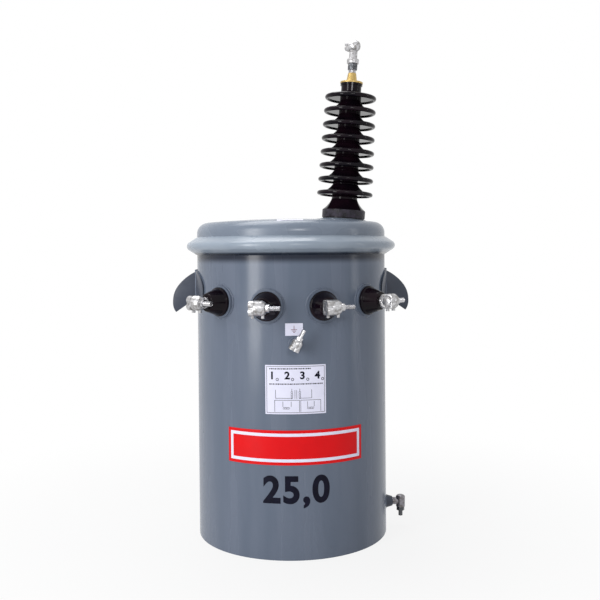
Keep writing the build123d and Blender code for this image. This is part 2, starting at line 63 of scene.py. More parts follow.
def linear(colour: str) -> tuple[float, float, float, float]:
    """Turn an sRGB hex colour into linear values.

    Args:
        colour: hex colour such as "#6B7585".

    Returns:
        Linear red, green and blue, and an alpha of 1.
    """
    shares = [int(colour[k : k + 2], 16) / 255 for k in (1, 3, 5)]
    bent = [s / 12.92 if s <= 0.04045 else ((s + 0.055) / 1.055) ** 2.4 for s in shares]
    return (*bent, 1.0)


def add_node(
    tree: NodeTree, kind: str, inputs: dict | None = None, **settings: object
) -> Node:
    """Add a shader node with its settings and links.

    Args:
        tree: node tree that gets the node.
        kind: node type without its common prefix, such as "TexNoise".
        inputs: socket name or number, with a plain value or another node's output.
        settings: properties of the node itself.

    Returns:
        The new node.
    """
    node = tree.nodes.new("ShaderNode" + kind)
    for key, value in settings.items():
        setattr(node, key, value)
    for key, value in (inputs or {}).items():
        if isinstance(value, NodeSocket):
            tree.links.new(value, node.inputs[key])
        else:
            node.inputs[key].default_value = value
    return node


def noise(tree: NodeTree, place: NodeSocket, cell: float, detail: float) -> NodeSocket:
    """Add a noise pattern of a real cell size.

    Args:
        tree: node tree of the material.
        place: where the pattern is read.
        cell: size of one cell in millimetres.
        detail: how many finer layers lie on it.

    Returns:
        The pattern's value.
    """
    inputs = {"Vector": place, "Scale": 1 / (cell * MM), "Detail": detail}
    return add_node(tree, "TexNoise", inputs).outputs["Fac"]


def ramp(
    tree: NodeTree,
    value: NodeSocket,
    source: tuple[float, float],
    target: tuple[float, float] = (0.0, 1.0),
) -> NodeSocket:
    """Turn one range of a value softly into another.

    Args:
        tree: node tree of the material.
        value: the value.
        source: its two ends.
        target: what the ends become.

    Returns:
        The new value.
    """
    inputs = {
        "Value": value,
        "From Min": source[0],
        "From Max": source[1],
        "To Min": target[0],
        "To Max": target[1],
    }
    return add_node(tree, "MapRange", inputs, interpolation_type="SMOOTHSTEP").outputs["Result"]


def bump(
    tree: NodeTree, height: NodeSocket, depth: float, below: NodeSocket | None = None
) -> NodeSocket:
    """Raise a pattern from the surface.

    Args:
        tree: node tree of the material.
        height: the pattern.
        depth: how far it rises in millimetres.
        below: normal of the relief that it lies on.

    Returns:
        The normal of the uneven surface.
    """
    inputs = {"Height": height, "Distance": depth * MM, "Strength": 1.0}
    if below is not None:
        inputs["Normal"] = below
    return add_node(tree, "Bump", inputs).outputs["Normal"]


# Finishes


@dataclass(frozen=True)
class Finish:
    """A surface of two mixed colours, whose constants stay on the shader's own sockets.

    Sizes are in millimetres, and grain and wave are a cell size with a depth. Patches may be drawn
    out upwards into streaks. A painted shade may darken the colour from the first height in
    painted_shade_heights to the second, where only painted_shade_colour is left.
    """

    name: str
    slot: str
    colours: tuple[str, str]
    gloss: tuple[float, float]
    patch: float
    streak: float = 1.0
    grain: tuple[float, float] = (1.0, 0.01)
    wave: tuple[float, float] = (100.0, 0.0)
    share: float = 0.5
    metallic: float = 0.0
    ior: float = 1.5
    painted_shade_heights: tuple[float, float] | None = None
    painted_shade_colour: str = "#1C2230"

    def build(self) -> Material:
        """Make the material: two mixed colours, patchy gloss, fine grain and slow waves.

        Returns:
            The finished material.
        """
        material = bpy.data.materials.new(self.name)
        material.use_nodes = True
        tree = material.node_tree
        tree.nodes.clear()
        place = add_node(tree, "TexCoord").outputs["Object"]
        shader = add_node(tree, "BsdfPrincipled", {"Metallic": self.metallic})
        if self.metallic < 1:
            shader.inputs["IOR"].default_value = self.ior
        drawn = add_node(tree, "Mapping", {"Vector": place, "Scale": (1, 1, 1 / self.streak)})
        patches = noise(tree, drawn.outputs["Vector"], self.patch, 3.0)
        waves = bump(tree, noise(tree, place, self.wave[0], 1.0), self.wave[1])
        grain = bump(tree, noise(tree, place, self.grain[0], 2.0), self.grain[1], waves)
        tree.links.new(self.tint(tree, place, patches), shader.inputs["Base Color"])
        tree.links.new(ramp(tree, patches, (0.35, 0.65), self.gloss), shader.inputs["Roughness"])
        tree.links.new(grain, shader.inputs["Normal"])
        add_node(tree, "OutputMaterial", {"Surface": shader.outputs["BSDF"]})
        return material

    def tint(self, tree: NodeTree, place: NodeSocket, patches: NodeSocket) -> NodeSocket:
        """Mix the second colour in soft patches into the first, and a painted shade into both.

        Args:
            tree: node tree of the material.
            place: where the height is read.
            patches: the value that says where the patches are.

        Returns:
            The mixed colour.
        """
        first, second = (linear(colour) for colour in self.colours)
        amount = ramp(tree, patches, (0.3, 0.75), (0.0, self.share))
        mixed = add_node(tree, "Mix", {0: amount, 6: first, 7: second}, data_type="RGBA").outputs[2]
        if not self.painted_shade_heights:
            return mixed
        # Painted shade: the colour turns towards painted_shade_colour between the two heights.
        height = add_node(tree, "SeparateXYZ", {0: place}).outputs["Z"]
        shade_amount = ramp(tree, height, (self.painted_shade_heights[0] * MM, self.painted_shade_heights[1] * MM))
        inputs = {0: shade_amount, 6: mixed, 7: linear(self.painted_shade_colour)}
        return add_node(tree, "Mix", inputs, data_type="RGBA").outputs[2]


@cache
def material_of(finish: Finish) -> Material:
    """Build a finish once and hand the same material to every piece that has it."""
    return finish.build()


# Polyurethane enamel, sprayed on rolled sheet: a gloss with a faint orange peel, over sheet that
# is slightly wavy, so reflections of lamps waver along it. Colour and gloss vary in faint upright
# streaks. Close under the band the wall is painted darker, as painted shade of the band's overhang.
ENAMEL = Finish(
    name="sprayed_grey_enamel",
    slot="tank_enamel",
    colours=("#5E6878", "#727988"),
    gloss=(0.19, 0.29),
    patch=55.0,
    streak=9.0,
    grain=(3.0, 0.006),
    wave=(150.0, 1.0),
    ior=1.34,
    # Painted shade under the band's overhang: darker from 668 mm up to 686 mm.
    painted_shade_heights=(668.0, 686.0),
)
# The same enamel on the pressed cover, its colour lighter than the wall's as painted light from above.
COVER_ENAMEL = Finish(
    name="sprayed_grey_enamel_on_cover",
    slot="tank_enamel",
    colours=("#6A7482", "#7A8492"),
    gloss=(0.22, 0.3),
    patch=120.0,
    grain=(3.0, 0.006),
    wave=(90.0, 0.8),
    share=0.6,
    ior=1.45,
)
# The same again on the rolled band, lighter still as painted light on the flank and the nose,
# with painted shade underneath.
BAND_ENAMEL = replace(
    COVER_ENAMEL,
    name="sprayed_grey_enamel_on_band",
    # Lighter than the cover's colours, as painted light on the band.
    colours=("#86919E", "#959FAB"),
    gloss=(0.2, 0.28),
    wave=(90.0, 0.5),
    ior=1.42,
    # Painted shade on the band's underside: darker from 700 mm down to 694 mm.
    painted_shade_heights=(700.0, 694.0),
    painted_shade_colour="#262D3A",
)
# Enamel over a weld bead: the ripples of the bead show through as a coarse bump.
WELD_ENAMEL = Finish(
    name="enamel_over_weld",
    slot="tank_enamel",
    colours=("#5A6373", "#687181"),
    gloss=(0.26, 0.36),
    patch=30.0,
    grain=(4.0, 0.5),
    ior=1.42,
)
# Enamel on the flame cut lugs and the side boss, darker than on the wall as painted shade, and
# less even than on sheet.
SHADED_ENAMEL = Finish(
    name="enamel_darkened_as_painted_shade",
    slot="tank_enamel",
    colours=("#3A404D", "#444A57"),
    gloss=(0.28, 0.4),
    patch=40.0,
    grain=(3.0, 0.03),
    ior=1.42,
)
# Nitrile rubber, moulded: dull black with a fine skin.
RUBBER = Finish(
    name="moulded_nitrile_rubber",
    slot="gasket_rubber",
    colours=("#1B1B1C", "#2A2A2B"),
    gloss=(0.6, 0.75),
    patch=30.0,
    grain=(0.8, 0.02),
)
# Electrical porcelain with a brown iron glaze, dipped and fired: near black, wet looking,
# with reddish patches where the glaze ran thin, and a very slight sag of the glaze.
PORCELAIN = Finish(
    name="brown_glazed_porcelain",
    slot="brown_porcelain",
    colours=("#0A070E", "#1D0E16"),
    gloss=(0.05, 0.1),
    patch=45.0,
    grain=(14.0, 0.08),
    share=0.7,
    ior=1.22,
)
# Porcelain end band, sanded before firing so that cement holds on it: rough dark grit.
SANDED_PORCELAIN = Finish(
    name="sanded_porcelain_band",
    slot="brown_porcelain",
    colours=("#0B090F", "#4C4652"),
    gloss=(0.35, 0.6),
    patch=13.0,
    grain=(2.5, 0.7),
    share=0.65,
    ior=1.3,
)
# Cast brass, turned and left bare: warm yellow that has gone dull and brown in patches.
BRASS = Finish(
    name="turned_brass",
    slot="cap_brass",
    colours=("#C2A76A", "#8E774C"),
    gloss=(0.34, 0.5),
    metallic=1.0,
    patch=9.0,
    grain=(0.7, 0.02),
)
# Zinc plated and blackened steel: dark with a dull shine.
DARK_STEEL = Finish(
    name="blackened_steel",
    slot="dark_steel",
    colours=("#5B5D60", "#2C2E31"),
    gloss=(0.3, 0.5),
    metallic=1.0,
    patch=8.0,
    grain=(0.8, 0.03),
)
# Sand cast bronze, tinned in a bath: bright grey white with a rough skin.
CAST_TIN = Finish(
    name="tinned_cast_bronze",
    slot="tinned_bronze",
    colours=("#C6C6C9", "#7C7976"),
    gloss=(0.3, 0.5),
    metallic=1.0,
    patch=7.0,
    grain=(1.6, 0.2),
    share=0.9,
)
# The same casting in a darker brownish grey: partly its own dull tone, partly painted shade low
# on the side.
DULL_TIN = replace(
    CAST_TIN,
    name="grey_tinned_bronze_with_painted_shade",
    colours=("#8B8990", "#5C574F"),
    gloss=(0.34, 0.52),
    patch=8.0,
    grain=(1.6, 0.14),
    share=0.8,
)
# Turned and tinned rod: the same metal, smoother.
TURNED_TIN = Finish(
    name="tinned_turned_rod",
    slot="tinned_bronze",
    colours=("#CACACE", "#96928C"),
    gloss=(0.18, 0.3),
    metallic=1.0,
    patch=6.0,
    grain=(0.6, 0.02),
)
# Grain oriented silicon steel, stacked: dull grey with a bluish oxide.
CORE_STEEL = Finish(
    name="stacked_core_steel",
    slot="core_steel",
    colours=("#5C6066", "#474B52"),
    gloss=(0.45, 0.6),
    metallic=1.0,
    patch=30.0,
    grain=(0.6, 0.05),
)
# Kraft paper wrap on the coils, soaked in oil: matt tan.
COIL_PAPER = Finish(
    name="oiled_kraft_paper",
    slot="coil_paper",
    colours=("#A98A5C", "#8B6E45"),
    gloss=(0.55, 0.7),
    patch=35.0,
    grain=(1.2, 0.05),
)
# Printed vinyl film, pressed on the paint: cool white with a soft sheen.
FILM_WHITE = Finish(
    name="white_vinyl_film",
    slot="",
    colours=("#E2E2F3", "#D9D9ED"),
    gloss=(0.32, 0.42),
    patch=25.0,
    grain=(1.5, 0.01),
    ior=1.35,
)
# Stencil ink, rolled on: a flat blue black.
INK_BLACK = Finish(
    name="black_stencil_ink",
    slot="",
    colours=("#0A0A18", "#15152A"),
    gloss=(0.4, 0.5),
    patch=15.0,
    grain=(1.2, 0.01),
    ior=1.2,
)
# Printing ink, screened on film: dark maroon.
INK_MAROON = Finish(
    name="maroon_print",
    slot="",
    colours=("#5E1A30", "#702A3E"),
    gloss=(0.35, 0.45),
    patch=8.0,
)
# The same vinyl film, dyed through: signal red.
FILM_RED = replace(
    FILM_WHITE,
    name="red_vinyl_film",
    colours=("#DC0E14", "#CE1218"),
    gloss=(0.3, 0.4),
    patch=40.0,
    ior=1.25,
)


# Bench


def start_clean() -> None:
    """Leave edit mode and deselect everything, so that the next primitive is alone."""
    if bpy.context.object and bpy.context.object.mode != "OBJECT":
        bpy.ops.object.mode_set(mode="OBJECT")
    bpy.ops.object.select_all(action="DESELECT")


class Workpiece:
    """A mesh on the bench and the hand steps that shape it."""

    def __init__(self, name: str) -> None:
        """Take the active object as the piece.

        Args:
            name: name of the finished piece.
        """
        self.object = bpy.context.object
        self.object.name = name
        self.object.data.name = name

    def take_up(self) -> "Workpiece":
        """Make this piece the only selected and active object.

        Returns:
            The piece itself.
        """
        start_clean()
        self.object.select_set(True)
        bpy.context.view_layer.objects.active = self.object
        return self

    def copy(self, name: str) -> "Workpiece":
        """Copy the piece with a mesh of its own.

        Args:
            name: name of the copy.

        Returns:
            The copy, active and selected.
        """
        self.take_up()
        bpy.ops.object.duplicate()
        return Workpiece(name)

    def settle(self) -> "Workpiece":
        """Put the piece's place, turn and scale into its mesh."""
        bpy.ops.object.transform_apply(location=True, rotation=True, scale=True)
        return self

    def pick_all(self) -> "Workpiece":
        """Go to edit mode and select everything.

        Returns:
            The piece itself.
        """
        bpy.ops.object.mode_set(mode="EDIT")
        bpy.ops.mesh.select_mode(type="VERT")
        bpy.ops.mesh.select_all(action="SELECT")
        return self

    def modify(self, kind: str, **settings: object) -> "Workpiece":
        """Add a modifier, set it and apply it.

        Args:
            kind: type of the modifier.
            settings: its properties.

        Returns:
            The piece itself.
        """
        bpy.ops.object.mode_set(mode="OBJECT")
        bpy.ops.object.modifier_add(type=kind)
        modifier = self.object.modifiers[-1]
        for key, value in settings.items():
            setattr(modifier, key, value)
        bpy.ops.object.modifier_apply(modifier=modifier.name)
        return self

    def slice_across(self, step: float) -> "Workpiece":
        """Cut the piece into upright strips, so that it can be bent.

        Args:
            step: width of a strip.

        Returns:
            The piece itself.
        """
        across = [vertex.co.x for vertex in self.object.data.vertices]
        cut = min(across) + step
        while cut < max(across):
            self.pick_all()
            bpy.ops.mesh.bisect(plane_co=(cut, 0, 0), plane_no=(1, 0, 0))
            cut += step
        bpy.ops.object.mode_set(mode="OBJECT")
        return self

    def join(self, others: Sequence["Workpiece"]) -> "Workpiece":
        """Join other pieces into this one.

        Args:
            others: the pieces that are joined in.

        Returns:
            The piece itself.
        """
        self.take_up()
        for other in others:
            other.object.select_set(True)
        bpy.ops.object.join()
        return self

    def place(self, matrix: Matrix) -> "Workpiece":
        """Move the piece and put its place into its mesh.

        Args:
            matrix: where the piece's own frame goes.

        Returns:
            The piece itself.
        """
        self.take_up()
        self.object.matrix_world = matrix @ self.object.matrix_world
        return self.settle()

    def fold_on_wall(self, radius: float, angle: float, height: float) -> "Workpiece":
        """Bend a flat upright piece round the tank and set it there.

        Args:
            radius: radius of the surface that its middle plane lies on.
            angle: degrees from the front, towards +X.
            height: height of its middle.

        Returns:
            The piece itself.
        """
        self.take_up()
        across = [vertex.co.x for vertex in self.object.data.vertices]
        self.modify(
            "SIMPLE_DEFORM",
            deform_method="BEND",
            deform_axis="Z",
            angle=(max(across) - min(across)) / radius,
        )
        turn = Matrix.Rotation(radians(angle), 4, "Z")
        return self.place(turn @ Matrix.Translation((0, -radius, height)))

    def dress(self, finish: Finish, smooth: float = 35.0, stands_for: Sequence[str] = ()) -> Object:
        """Close the piece: merged points, outward faces, smooth shading, finish and body.

        Args:
            finish: surface of the piece.
            smooth: degrees under which two faces shade as one.
            stands_for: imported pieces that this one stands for.

        Returns:
            The finished object.
        """
        self.take_up().pick_all()
        bpy.ops.mesh.remove_doubles(threshold=0.002 * MM)
        bpy.ops.mesh.normals_make_consistent(inside=False)
        bpy.ops.object.mode_set(mode="OBJECT")
        bpy.ops.object.shade_smooth_by_angle(angle=radians(smooth))
        self.object.data.materials.clear()
        self.object.data.materials.append(material_of(finish))
        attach(self.object, BODY)
        if stands_for:
            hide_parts(*stands_for)
        log.info("%s: %d faces", self.object.name, len(self.object.data.polygons))
        return self.object


def polyline(name: str, points: Sequence[Vector]) -> Workpiece:
    """Extrude one point along a route into a chain of edges.

    Args:
        name: name of the piece.
        points: the route; a route that ends where it starts is closed.

    Returns:
        The chain of edges.
    """
    start_clean()
    bpy.ops.mesh.primitive_plane_add(size=MM, location=points[0])
    bpy.ops.object.mode_set(mode="EDIT")
    bpy.ops.mesh.select_all(action="SELECT")
    bpy.ops.mesh.merge(type="CENTER")
    for before, after in pairwise(points):
        bpy.ops.mesh.extrude_region_move(TRANSFORM_OT_translate={"value": after - before})
    bpy.ops.mesh.select_all(action="SELECT")
    bpy.ops.mesh.remove_doubles(threshold=0.01 * MM)
    bpy.ops.object.mode_set(mode="OBJECT")
    return Workpiece(name).settle()


def lathe(name: str, outline: Sequence[tuple[float, float]], steps: int = 96) -> Workpiece:
    """Spin an outline about Z.

    Args:
        name: name of the piece.
        outline: (radius, height) points in metres.
        steps: how many faces go round.

    Returns:
        The turned piece.
    """
    piece = polyline(name, [Vector((radius, 0, height)) for radius, height in outline])
    piece.pick_all()
    bpy.ops.mesh.spin(steps=steps, angle=2 * pi, center=(0, 0, 0), axis=(0, 0, 1))
    piece.pick_all()
    bpy.ops.mesh.remove_doubles(threshold=0.01 * MM)
    return piece


def rounded(corners: Sequence[tuple[float, float, float]]) -> list[tuple[float, float]]:
    """Round the corners of an open outline with arcs.

    Args:
        corners: (radius, height, rounding) of each corner in millimetres.

    Returns:
        The outline's points in metres.
    """
    points = [corners[0][:2]]
    for (ax, ay, _), (bx, by, rounding), (cx, cy, _) in zip(corners, corners[1:], corners[2:]):
        if not rounding:
            points.append((bx, by))
            continue
        before = Vector((ax - bx, ay - by)).normalized()
        after = Vector((cx - bx, cy - by)).normalized()
        half = before.angle(after) / 2
        middle = Vector((bx, by)) + (before + after).normalized() * (rounding / sin(half))
        reach = rounding * cos(half) / sin(half)
        start = Vector((bx, by)) + before * reach - middle
        end = Vector((bx, by)) + after * reach - middle
        for k in range(ARC_STEPS + 1):
            along = start.lerp(end, k / ARC_STEPS).normalized() * rounding
            points.append(tuple(middle + along))
    points.append(corners[-1][:2])
    return [(x * MM, y * MM) for x, y in points]


def weld_bead(name: str, route: Sequence[Vector], radius: float) -> Object:
    """Lay a rippled weld bead along a route, under the paint.

    Args:
        name: name of the piece.
        route: closely spaced points; a route that ends where it starts is closed.
        radius: half the bead's width.

    Returns:
        The painted bead.
    """
    piece = polyline(name, route)
    bpy.ops.object.convert(target="CURVE")
    curve = piece.object.data
    curve.bevel_depth = radius
    curve.bevel_resolution = 3
    curve.use_fill_caps = True
    for number, point in enumerate(curve.splines[0].points):
        point.radius = 1.0 if number % 2 else 0.86
    bpy.ops.object.convert(target="MESH")
    return piece.dress(WELD_ENAMEL, smooth=60)


def walk(points: Sequence[Vector], step: float) -> list[Vector]:
    """Divide a route into steps of about one length.

    Args:
        points: corners of the route.
        step: length of one step.

    Returns:
        The corners with the points between them.
    """
    route = [points[0]]
    for before, after in pairwise(points):
        count = max(1, round((after - before).length / step))
        route += [before.lerp(after, (k + 1) / count) for k in range(count)]
    return route


def bow(first: Vector, middle: Vector, last: Vector, count: int) -> list[Vector]:
    """Curve from one point past a second to a third.

    Args:
        first: where it starts.
        middle: what it passes half way.
        last: where it ends.
        count: how many points it gets.

    Returns:
        The curve's points.
    """
    corner = 2 * middle - (first + last) / 2
    return interpolate_bezier(first, first.lerp(corner, 2 / 3), last.lerp(corner, 2 / 3), last, count)


def weld_ring(
    name: str, ring: float, angle: float, height: float, radius: float, step: float
) -> Object:
    """Weld a round boss to the tank's wall.

    Args:
        name: name of the bead.
        ring: radius of the ring that the bead follows.
        angle: degrees from the front, towards +X.
        height: height of the boss's axis.
        radius: half the bead's width.
        step: length of one ripple.

    Returns:
        The painted bead.
    """
    count = 2 * round(pi * ring / step)
    turn = Matrix.Rotation(radians(angle), 4, "Z")
    route = []
    for k in range(count + 1):
        t = 2 * pi * (k % count) / count
        x = ring * cos(t)
        depth = sqrt((TANK_RADIUS * MM) ** 2 - x**2)
        route.append(turn @ Vector((x, -depth, height + ring * sin(t))))
    return weld_bead(name, route, radius)


def threaded_rod(name: str, radius: float, length: float, pitch: float) -> Workpiece:
    """Screw a tooth outline up Z into a thread, and cut both ends flat.

    Args:
        name: name of the piece.
        radius: crest radius.
        length: length of the thread, from Z 0 up.
        pitch: rise of one turn.

    Returns:
        The threaded rod.
    """
    root = radius - 0.55 * pitch
    start = -pitch
    tooth = [(root, 0.0), (radius, 0.4), (radius, 0.55), (root, 0.95), (root, 1.0)]
    piece = polyline(name, [Vector((r, 0, start + share * pitch)) for r, share in tooth])
    piece.modify(
        "SCREW",
        axis="Z",
        screw_offset=pitch,
        iterations=int(length / pitch) + 2,
        steps=18,
        render_steps=18,
        use_merge_vertices=True,
        merge_threshold=0.01 * MM,
    )
    for height, outward in ((0.0, -1.0), (length, 1.0)):
        piece.pick_all()
        bpy.ops.mesh.remove_doubles(threshold=0.01 * MM)
        bpy.ops.mesh.bisect(
            plane_co=(0, 0, height), plane_no=(0, 0, outward), use_fill=True, clear_outer=True
        )
    return piece


def hex_nut(name: str, flats: float, height: float) -> Workpiece:
    """Cut a hexagonal block's corners back with a ball, as a nut's are.

    Args:
        name: name of the piece.
        flats: distance between opposite flats.
        height: height of the nut, from Z 0 up.

    Returns:
        The nut.
    """
    middle = (0, 0, height / 2)
    start_clean()
    bpy.ops.mesh.primitive_uv_sphere_add(
        segments=48, ring_count=32, radius=hypot(0.505 * flats, height / 2), location=middle
    )
    ball = Workpiece(name + "_ball").settle()
    start_clean()
    corner = flats / 2 / cos(radians(30))
    bpy.ops.mesh.primitive_cylinder_add(vertices=6, radius=corner, depth=height, location=middle)
    piece = Workpiece(name).settle()
    piece.modify("BOOLEAN", operation="INTERSECT", object=ball.object)
    bpy.data.objects.remove(ball.object)
    return piece


def soften(node: str, width: float, finish: Finish) -> Object:
    """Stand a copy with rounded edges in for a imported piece.

    Args:
        node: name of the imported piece.
        width: width of the rounding.
        finish: surface of the piece.

    Returns:
        The finished copy.
    """
    start_clean()
    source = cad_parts[node]
    copy = bpy.data.objects.new(node + "_rounded", source.data.copy())
    bpy.context.scene.collection.objects.link(copy)
    copy.select_set(True)
    bpy.context.view_layer.objects.active = copy
    piece = Workpiece(copy.name)
    bpy.ops.mesh.customdata_custom_splitnormals_clear()
    piece.pick_all()
    bpy.ops.mesh.remove_doubles(threshold=0.01 * MM)
    bpy.ops.mesh.dissolve_limited(angle_limit=radians(0.6))
    piece.modify(
        "BEVEL",
        width=width,
        segments=2,
        limit_method="ANGLE",
        angle_limit=radians(40),
        use_clamp_overlap=True,
    )
    return piece.dress(finish, stands_for=[node])


def dress_packed(names: Sequence[str], finish: Finish) -> None:
    """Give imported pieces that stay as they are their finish.

    Args:
        names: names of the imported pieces.
        finish: surface of them all.
    """
    for name in names:
        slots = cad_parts[name].data.materials
        slots.clear()
        slots.append(material_of(finish))
        log.info("%s: %s", name, finish.name)


def wall_matrix(reach: float, angle: float, height: float) -> Matrix:
    """Frame at a distance from the tank's axis: +Z points out of the wall, +Y up.

    Args:
        reach: distance from the axis.
        angle: degrees from the front, towards +X.
        height: height of the origin.

    Returns:
        The frame.
    """
    turn = Matrix.Rotation(radians(angle), 4, "Z")
    stand = Matrix.Translation((0, -reach, height)) @ Matrix.Rotation(radians(90), 4, "X")
    return turn @ stand


# Sub-assemblies


class Side(Enum):
    """Side of the tank, as a sign along X."""

    RIGHT = 1
    LEFT = -1

    @property
    def word(self) -> str:
        """Word for the side in the names of pieces."""
        return self.name.lower()


@dataclass
class Tank:
    """Round tank with its lugs, hangers and the weld beads that hold them."""

    bead: float = 3.0
    ripple: float = 3.5
    edge: float = 1.2
    seam_angle: float = 205.0
    seam_foot: float = 14.0
    seam_gap: float = 12.0
    lug_thickness: float = 10.0
    root_height: float = 66.0
    pad_thickness: float = 4.0
    pad_edge: tuple[tuple[float, float], ...] = ((-1.0, 0.0), (-14.5, 20.0), (-18.7, 55.0))
    hanger_width: float = 96.0

    def build(self) -> None:
        """Dress the shell and add the rounded brackets and their welds."""
        dress_packed(["tank_wall", "tank_bottom"], ENAMEL)
        dress_packed(["cover_gasket"], RUBBER)
        for side in Side:
            soften(f"lifting_lug_{side.word}", self.edge * MM, SHADED_ENAMEL)
            self.weld_lug(side)
            self.weld_pad(side)
        for level in ("upper", "lower"):
            soften(f"hanger_{level}", self.edge * MM, ENAMEL)
            self.weld_hanger(level)
        self.weld_seam()

    def weld_lug(self, side: Side) -> None:
        """Lay a bead down both faces of a lug's root, on the pad and on the bare wall.

        Args:
            side: side of the tank that the lug is on.
        """
        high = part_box(f"lifting_lug_{side.word}")[1]
        half = (self.lug_thickness / 2 + self.bead / 3) * MM
        on_pad = sqrt(((TANK_RADIUS + self.pad_thickness) * MM) ** 2 - half**2) * side.value
        on_wall = sqrt((TANK_RADIUS * MM) ** 2 - half**2) * side.value
        top = high.z + self.bead / 3 * MM
        root = high.z - self.root_height * MM
        corners = [
            Vector((on_pad, -half, root)),
            Vector((on_pad, -half, top)),
            Vector((on_wall, half, top)),
            Vector((on_wall, half, root)),
        ]
        weld_bead(f"lug_weld_{side.word}", walk(corners, self.ripple * MM), self.bead * MM)

    def weld_pad(self, side: Side) -> None:
        """Lay a bead along the front and lower edge of a lug's pad.

        Args:
            side: side of the tank that the lug is on.
        """
        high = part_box(f"lifting_lug_{side.word}")[1]
        wall = (TANK_RADIUS + self.bead / 3) * MM
        edge = [Vector((reach, -drop, 0)) for reach, drop in self.pad_edge]
        flat = bow(*edge, 16)
        flat += [Vector((reach, -self.root_height, 0)) for reach in (self.pad_edge[-1][0], -6.0, -2.0)]
        route = []
        for point in walk(flat, self.ripple):
            x = (TANK_RADIUS + point.x) * MM
            y = -sqrt(wall**2 - x**2)
            route.append(Vector((side.value * x, y, high.z + point.y * MM)))
        weld_bead(f"lug_pad_weld_{side.word}", route, 0.8 * self.bead * MM)

    def weld_hanger(self, level: str) -> None:
        """Lay a bead down the outside of both legs of a hanger.

        Args:
            level: "upper" or "lower".
        """
        low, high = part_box(f"hanger_{level}")
        half = (self.hanger_width / 2 + self.bead / 3) * MM
        reach = sqrt((TANK_RADIUS * MM) ** 2 - half**2)
        for number, side in enumerate((-1, 1), start=1):
            ends = [Vector((side * half, reach, low.z)), Vector((side * half, reach, high.z))]
            name = f"hanger_weld_{level}_{number}"
            weld_bead(name, walk(ends, self.ripple * MM), self.bead * MM)

    def weld_seam(self) -> None:
        """Lay the long seam of the rolled wall, at the back."""
        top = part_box("tank_wall")[1].z
        turn = Matrix.Rotation(radians(self.seam_angle), 4, "Z")
        reach = (TANK_RADIUS - self.bead * 0.55) * MM
        heights = (self.seam_foot * MM, top - self.seam_gap * MM)
        ends = [turn @ Vector((0, -reach, height)) for height in heights]
        weld_bead("tank_seam_weld", walk(ends, self.ripple * MM), self.bead * 0.9 * MM)


@dataclass
class Cover:
    """Pressed cover with its vee band, closing bolt and blank sticker."""

    sticker_width: float = 60.0
    sticker_length: float = 40.0
    sticker_x: float = -9.0
    sticker_y: float = -197.0
    sticker_thickness: float = 0.3
    sticker_lift: float = 0.25
    drop: float = 5.0

    def build(self) -> None:
        """Dress the cover and the band, and lay the sticker on."""
        dress_packed(["tank_cover"], COVER_ENAMEL)
        dress_packed(["cover_band"], BAND_ENAMEL)
        soften("band_bolt", 0.8 * MM, DARK_STEEL)
        self.lay_sticker()

    def lay_sticker(self) -> None:
        """Lay a blank sticker on the crown."""
        start_clean()
        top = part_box("tank_cover")[1].z
        bpy.ops.mesh.primitive_grid_add(
            x_subdivisions=14,
            y_subdivisions=10,
            size=1,
            location=(self.sticker_x * MM, self.sticker_y * MM, top + self.drop * MM),
        )
        piece = Workpiece("cover_sticker")
        bpy.ops.transform.resize(value=(self.sticker_width * MM, self.sticker_length * MM, 1))
        piece.settle()
        piece.modify(
            "SHRINKWRAP",
            target=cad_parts["tank_cover"],
            wrap_method="PROJECT",
            use_negative_direction=True,
            use_positive_direction=False,
            use_project_z=True,
            offset=self.sticker_lift * MM,
        )
        piece.modify("SOLIDIFY", thickness=self.sticker_thickness * MM, offset=1.0)
        piece.dress(FILM_WHITE)


@dataclass
class HighVoltageBushing:
    """Tall bushing on the cover: seat, porcelain, brass cap, stud, nut and connector."""

    lean: float = 3.9
    gasket: float = 2.0
    collar_radius: float = 53.5
    collar_height: float = 20.6
    band_depth: float = 0.5
    band_foot: float = 1.0
    band_gap: float = 0.5
    stud_radius: float = 9.7
    stud_length: float = 8.0
    thread_pitch: float = 2.0
    nut_flats: float = 22.5
    nut_height: float = 15.7
    cap_top: float = 368.3

    def __post_init__(self) -> None:
        """Work out the bushing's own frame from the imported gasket."""
        low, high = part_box("hv_gasket")
        middle = (low + high) / 2
        turn = Matrix.Rotation(radians(self.lean), 4, "Y")
        self.frame = Matrix.Translation(middle - turn @ Vector((0, 0, self.gasket / 2 * MM))) @ turn

    def build(self) -> None:
        """Dress the porcelain and build the metal fittings on it."""
        dress_packed(["hv_porcelain"], PORCELAIN)
        dress_packed(["hv_gasket"], RUBBER)
        self.grit_collar()
        soften("hv_seat", 2.5 * MM, COVER_ENAMEL)
        soften("hv_cap", 0.8 * MM, BRASS)
        soften("hv_connector", 1.2 * MM, CAST_TIN)
        soften("hv_clamp", 1.2 * MM, CAST_TIN)
        rod = threaded_rod(
            "hv_stud_thread", self.stud_radius * MM, self.stud_length * MM, self.thread_pitch * MM
        )
        rod.place(self.frame @ Matrix.Translation((0, 0, self.cap_top * MM)))
        rod.dress(TURNED_TIN, stands_for=["hv_stud"])
        nut = hex_nut("hv_lock_nut", self.nut_flats * MM, self.nut_height * MM)
        nut.place(self.frame @ Matrix.Translation((0, 0, (self.cap_top + self.stud_length) * MM)))
        nut.dress(DARK_STEEL, stands_for=["hv_nut"])

    def grit_collar(self) -> None:
        """Turn the thin rough band that was sanded round the porcelain's collar."""
        low = self.gasket + self.band_foot
        high = self.gasket + self.collar_height - self.band_gap
        outer = self.collar_radius + self.band_depth
        inner = self.collar_radius - self.band_depth
        corners = [
            (inner, low, 0),
            (outer, low, 0.3),
            (outer, high, 0.3),
            (inner, high, 0),
            (inner, low, 0),
        ]
        band = lathe("hv_sanded_band", rounded(corners), steps=96).place(self.frame)
        band.dress(SANDED_PORCELAIN)


